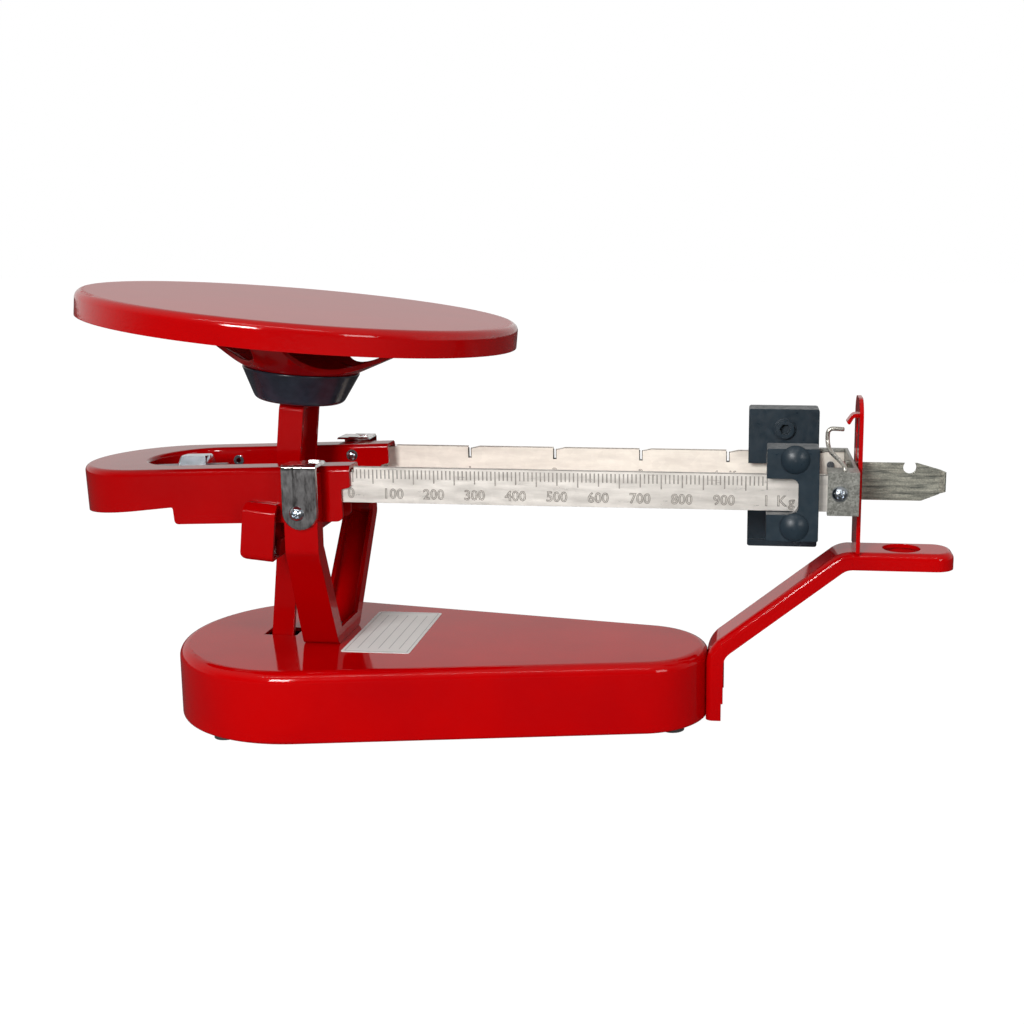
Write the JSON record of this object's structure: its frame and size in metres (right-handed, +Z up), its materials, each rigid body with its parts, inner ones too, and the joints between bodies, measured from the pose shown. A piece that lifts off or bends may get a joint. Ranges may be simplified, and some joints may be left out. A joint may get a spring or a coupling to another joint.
{
  "type": "counter scale",
  "caption": "Two-beam counter scale: round plate on a guided stem, red base, ringed lever on knife-edges, sliding poises, guard and lock wire.",
  "frame": {"origin": "centre of the length and of the width, on the surface that the feet stand on", "axes": "+X along the beams, from the plate's end to the pointer's end; +Y from the front beam to the rear beam; +Z up"},
  "size_m": [0.4444, 0.216, 0.2217],
  "materials": {
    "painted_red": "smooth gloss paint",
    "dark_cast": "dark blue-grey semi-gloss paint",
    "zinc_sheet": "bright zinc plate, lightly mottled",
    "bright_screw": "bright plated",
    "plain_steel": "plain plated steel",
    "hard_steel": "ground tool steel",
    "scale_metal": "satin strip",
    "dark_plastic": "satin",
    "foot_rubber": "matt",
    "label_stock": "satin film"
  },
  "bodies": {
    "base": {"base_housing": "painted_red", "rubber_feet": "foot_rubber", "blank_label": "label_stock", "stand": "painted_red", "stand_screws": "plain_steel", "fulcrum_bearings": "hard_steel", "front_bearing_cap": "zinc_sheet", "rear_bearing_cap": "zinc_sheet", "cap_screws": "bright_screw", "check_anchor": "plain_steel", "anchor_pin": "plain_steel", "guard_arm": "painted_red", "arm_bolts": "plain_steel", "guard_plate": "painted_red"},
    "beam": {"yoke": "painted_red", "fulcrum_pivots": "hard_steel", "load_pivots": "hard_steel", "arm_eyelets": "bright_screw", "balance_rod": "plain_steel", "front_beam": "scale_metal", "rear_beam": "scale_metal", "end_bracket": "zinc_sheet", "bracket_screws": "bright_screw", "pointer_tongue": "zinc_sheet", "tongue_rivets": "bright_screw"},
    "nut": {"balance_nut": "zinc_sheet"},
    "wire": {"lock_wire": "zinc_sheet"},
    "front_poise": {"front_poise_face": "dark_cast", "front_poise_back": "dark_cast", "front_poise_rivets": "dark_cast"},
    "rear_poise": {"rear_poise_face": "dark_cast", "rear_poise_back": "dark_cast", "rear_poise_rivet": "dark_cast", "rear_poise_screw": "dark_cast", "rear_poise_blade": "hard_steel"},
    "support": {"load_frame": "painted_red", "load_bearings": "hard_steel", "stem_strap": "painted_red", "stem_tail": "painted_red", "stem_cup": "dark_plastic", "cup_screw": "plain_steel"},
    "platform": {"platform_spider": "painted_red", "platform_plate": "painted_red"},
    "link": {"check_link": "plain_steel", "tail_pin": "plain_steel"}
  },
  "joints": [
    {"name": "beam_swing", "type": "hinge", "parent": "base", "child": "beam", "pos_m": [-0.09221, 0, 0.1268], "axis": [0, 1, 0], "range_deg": [-3, 0]},
    {"name": "support_swing", "type": "hinge", "parent": "beam", "child": "support", "pos_m": [-0.11571, 0, 0.1115], "axis": [0, 1, 0], "range_deg": [0, 3]},
    {"name": "link_swing", "type": "hinge", "parent": "base", "child": "link", "pos_m": [-0.10214, 0, 0.02729], "axis": [0, 1, 0], "range_deg": [-3, 0]},
    {"name": "plate_lift", "type": "slide", "parent": "support", "child": "platform", "axis": [0.0993, 0, 0.9951], "range_m": [0, 0.02]},
    {"name": "front_poise_slide", "type": "slide", "parent": "beam", "child": "front_poise", "axis": [1, 0, 0], "range_m": [-0.2, 0]},
    {"name": "rear_poise_slide", "type": "slide", "parent": "beam", "child": "rear_poise", "axis": [1, 0, 0], "range_m": [-0.1856, 0]},
    {"name": "nut_travel", "type": "slide", "parent": "beam", "child": "nut", "axis": [0.9993, 0, 0.0384], "range_m": [-0.011, 0.008]},
    {"name": "wire_swing", "type": "hinge", "parent": "beam", "child": "wire", "pos_m": [0.16519, -0.0355, 0.138], "axis": [0, 0, -1], "range_deg": [0, 11]}
  ],
  "couplings": [
    {"joint": "support_swing", "follows": "beam_swing", "ratio": -1},
    {"joint": "link_swing", "follows": "beam_swing", "ratio": 1}
  ]
}
